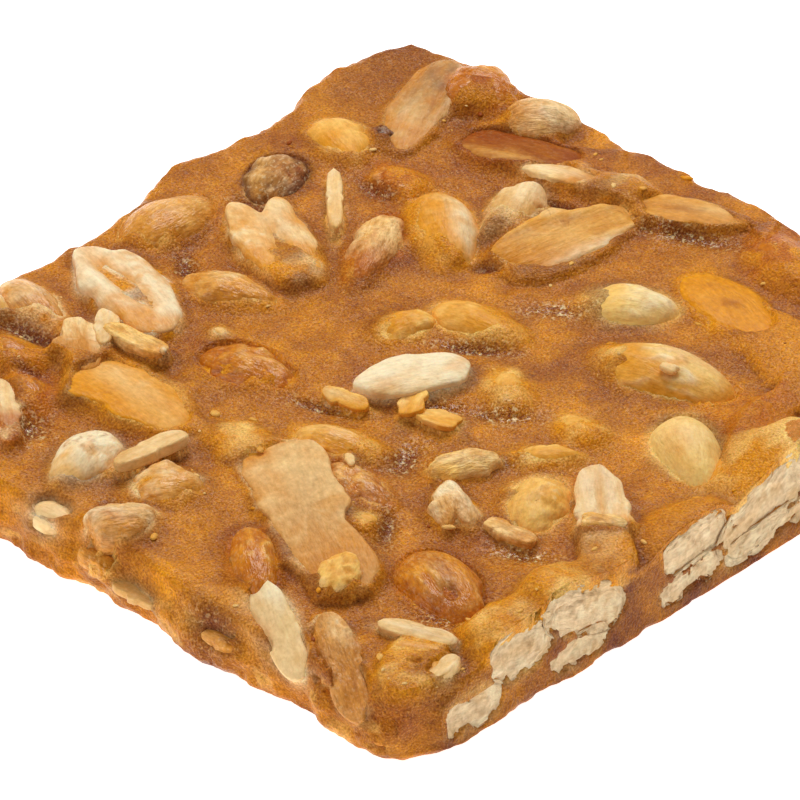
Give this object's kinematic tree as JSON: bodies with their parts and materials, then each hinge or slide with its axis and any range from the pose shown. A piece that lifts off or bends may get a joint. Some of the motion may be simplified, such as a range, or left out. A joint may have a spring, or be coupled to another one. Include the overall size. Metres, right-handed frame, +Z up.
{
  "type": "nut brittle piece",
  "caption": "Flat, nearly square piece of set caramel with peanut kernels, split halves and thin nut slices half sunk in its top and cut through along one side.",
  "frame": {"origin": "on the flat underside, at the middle of the slab's length and of its width at mid length", "axes": "+Z up out of the nutty top, +X out of the knife-cut side, Y along the length with +Y at the wider end"},
  "size_m": [0.1022, 0.1073, 0.0125],
  "materials": {
    "caramel": "set caramel, satin with fine sugary grain, amber in the hollows",
    "pale_nut": "bare cream peanut flesh, matt to satin",
    "golden_nut": "peanut under a thin golden film of caramel",
    "amber_nut": "peanut under a thick amber coat of caramel",
    "dark_nut": "dark roasted peanut, red brown and glossy",
    "scorched_nut": "grey brown scorched peanut with a dull crust",
    "crusted_nut": "peanut with a flaky crystalline crust",
    "nut_slice": "thin translucent beige nut slice with pale edges",
    "cut_nut": "grainy cream face of a kernel that the knife went through, golden skin above"
  },
  "bodies": {
    "root": {"caramel": "caramel", "half_far_left": "pale_nut", "kernel_far_rim": "crusted_nut", "slice_brown": "nut_slice", "slice_pale_back": "nut_slice", "slice_ragged": "nut_slice", "chunk_cream": "pale_nut", "slice_fan": "nut_slice", "kernel_crowned": "golden_nut", "chunk_golden_left": "golden_nut", "kernel_scorched": "scorched_nut", "kernel_flaky": "crusted_nut", "half_open": "pale_nut", "kernel_left_rim": "amber_nut", "kernel_under_film": "amber_nut", "half_hollow": "pale_nut", "half_domed_left": "amber_nut", "kernel_rough": "amber_nut", "slice_upright": "nut_slice", "slice_wide_left": "nut_slice", "seed_white": "pale_nut", "kernel_split_tip": "golden_nut", "kernel_golden_mid": "golden_nut", "kernel_coated_front": "amber_nut", "kernel_red": "dark_nut", "kernel_flaked_end": "golden_nut", "slice_golden_flat": "golden_nut", "kernel_veined": "golden_nut", "kernel_clean": "pale_nut", "slice_rim_right": "nut_slice", "kernel_tan": "golden_nut", "half_long_pale": "pale_nut", "chunk_flaky": "crusted_nut", "kernel_ringed": "amber_nut", "slice_long": "nut_slice", "chunk_on_slice": "golden_nut", "kernel_front_long": "amber_nut", "half_front_pale": "pale_nut", "half_front_brown": "crusted_nut", "half_sunk_corner": "pale_nut", "kernel_cream_front": "pale_nut", "kernel_round_front": "amber_nut", "chunk_crusted_front": "crusted_nut", "chunk_front_face": "pale_nut", "kernel_front_dark": "dark_nut", "half_stick_left": "pale_nut", "kernel_corner_left": "golden_nut", "half_corner_left": "pale_nut", "kernel_back_right": "golden_nut", "half_back_right": "pale_nut", "kernel_right_back": "amber_nut", "slice_back_right": "nut_slice", "cut_front_low": "cut_nut", "cut_front_high": "cut_nut", "cut_middle_high": "cut_nut", "cut_middle_low": "cut_nut", "cut_centre_high": "cut_nut", "cut_centre_low": "cut_nut", "cut_back_high": "cut_nut", "cut_back_low": "cut_nut"}
  },
  "joints": []
}
